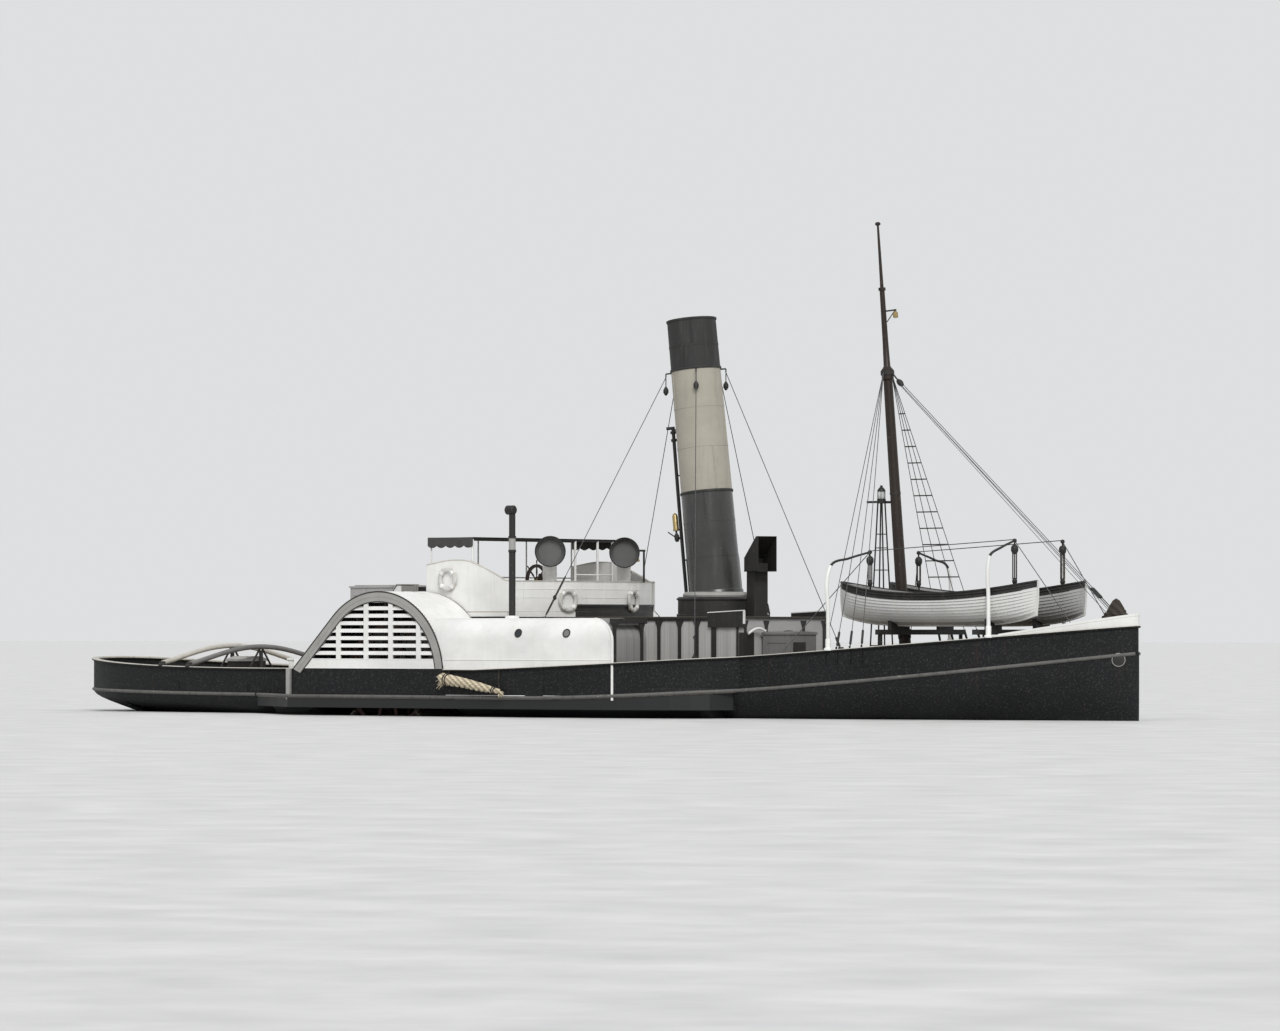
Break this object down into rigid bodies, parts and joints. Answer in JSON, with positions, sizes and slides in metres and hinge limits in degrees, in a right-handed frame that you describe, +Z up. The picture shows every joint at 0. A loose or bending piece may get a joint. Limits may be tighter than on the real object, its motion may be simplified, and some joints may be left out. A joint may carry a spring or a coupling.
{
  "type": "side-wheel paddle tug",
  "caption": "Side-wheel paddle tug with louvred paddle boxes, open bridge under an awning, tall raked funnel, mast with lifeboats, windlass and tow hook; wheels, rudder and hook move.",
  "frame": {"origin": "amidships on the centreline at the waterline", "axes": "+X forward, +Y to port, +Z up; the shaft lies along Y at x -3.5 m"},
  "size_m": [37.208, 11.0519, 15.9873],
  "materials": {
    "hull_black": "weathered black paint",
    "deck_wood": "bare scrubbed planks",
    "white_paint": "satin white paint",
    "grey_paint": "satin grey paint",
    "funnel_buff": "satin paint, sooted",
    "black_iron": "painted iron",
    "rail_wood": "worn bare wood",
    "mast_wood": "varnished wood",
    "canvas": "dark tarred canvas",
    "coir": "rough cordage",
    "wheel_iron": "red lead paint, worn",
    "wire": "dull wire rope"
  },
  "bodies": {
    "vessel": {"hull": "hull_black", "sponson_starboard": "hull_black", "sponson_port": "hull_black", "bulwark_forward": "hull_black", "bulwark_aft": "hull_black", "bridge_deck": "deck_wood", "bow_band": "white_paint", "paddle_box_starboard": "white_paint", "paddle_box_port": "white_paint", "sponson_house_starboard": "white_paint", "sponson_house_port": "white_paint", "bridge_screens": "white_paint", "awning_frame": "white_paint", "cowl_vent_starboard": "white_paint", "cowl_vent_port": "white_paint", "lifeboat_starboard": "white_paint", "lifeboat_port": "white_paint", "boat_skids_aft": "white_paint", "boat_skids_forward": "white_paint", "davit_aft_starboard": "white_paint", "davit_aft_port": "white_paint", "davit_forward_starboard": "white_paint", "davit_forward_port": "white_paint", "companion_aft": "white_paint", "aft_locker": "white_paint", "lifebuoy_side": "white_paint", "lifebuoy_front_starboard": "white_paint", "lifebuoy_front_port": "white_paint", "casing": "grey_paint", "engine_skylight": "grey_paint", "companion_forward": "grey_paint", "funnel": "funnel_buff", "stove_pipe": "black_iron", "square_vent": "black_iron", "funnel_plinth": "black_iron", "steam_pipe": "black_iron", "lamp_stand": "black_iron", "bitts_forward_starboard": "black_iron", "bitts_forward_port": "black_iron", "bitts_aft_starboard": "black_iron", "bitts_aft_port": "black_iron", "windlass_frame": "black_iron", "tow_post": "black_iron", "rubbing_strake_forward": "rail_wood", "rubbing_strake_aft": "rail_wood", "tow_beam_forward": "rail_wood", "tow_beam_aft": "rail_wood", "mast": "mast_wood", "wheel_pedestal": "mast_wood", "awning": "canvas", "bow_fender": "coir", "rope_fender": "coir", "mast_rigging": "wire", "funnel_guys": "wire"},
    "paddle_wheel_starboard": {"paddle_wheel_starboard": "wheel_iron"},
    "paddle_wheel_port": {"paddle_wheel_port": "wheel_iron"},
    "rudder": {"rudder": "hull_black"},
    "steering_wheel": {"steering_wheel": "mast_wood"},
    "tow_hook": {"tow_hook": "black_iron"},
    "windlass_barrel": {"windlass_barrel": "black_iron"}
  },
  "joints": [
    {"name": "starboard_paddle_spin", "type": "hinge", "parent": "vessel", "child": "paddle_wheel_starboard", "pos_m": [-3.5, -4.325, 1.12], "axis": [0, 1, 0], "continuous": true},
    {"name": "port_paddle_spin", "type": "hinge", "parent": "vessel", "child": "paddle_wheel_port", "pos_m": [-3.5, 4.325, 1.12], "axis": [0, 1, 0], "continuous": true},
    {"name": "rudder_hinge", "type": "hinge", "parent": "vessel", "child": "rudder", "pos_m": [-16.96, 0, -1.2], "axis": [0, 0, 1], "range_deg": [-35, 35]},
    {"name": "steering_wheel_spin", "type": "hinge", "parent": "vessel", "child": "steering_wheel", "pos_m": [-2.1003, 0, 3.84], "axis": [1, 0, 0], "range_deg": [-360, 360]},
    {"name": "tow_hook_swing", "type": "hinge", "parent": "vessel", "child": "tow_hook", "pos_m": [-9.25, 0, 1.5], "axis": [0, 0, 1], "range_deg": [-75, 75]},
    {"name": "windlass_spin", "type": "hinge", "parent": "vessel", "child": "windlass_barrel", "pos_m": [16.3, 0, 2.13], "axis": [0, 1, 0], "continuous": true}
  ],
  "couplings": [
    {"joint": "steering_wheel_spin", "follows": "rudder_hinge", "ratio": 10}
  ]
}
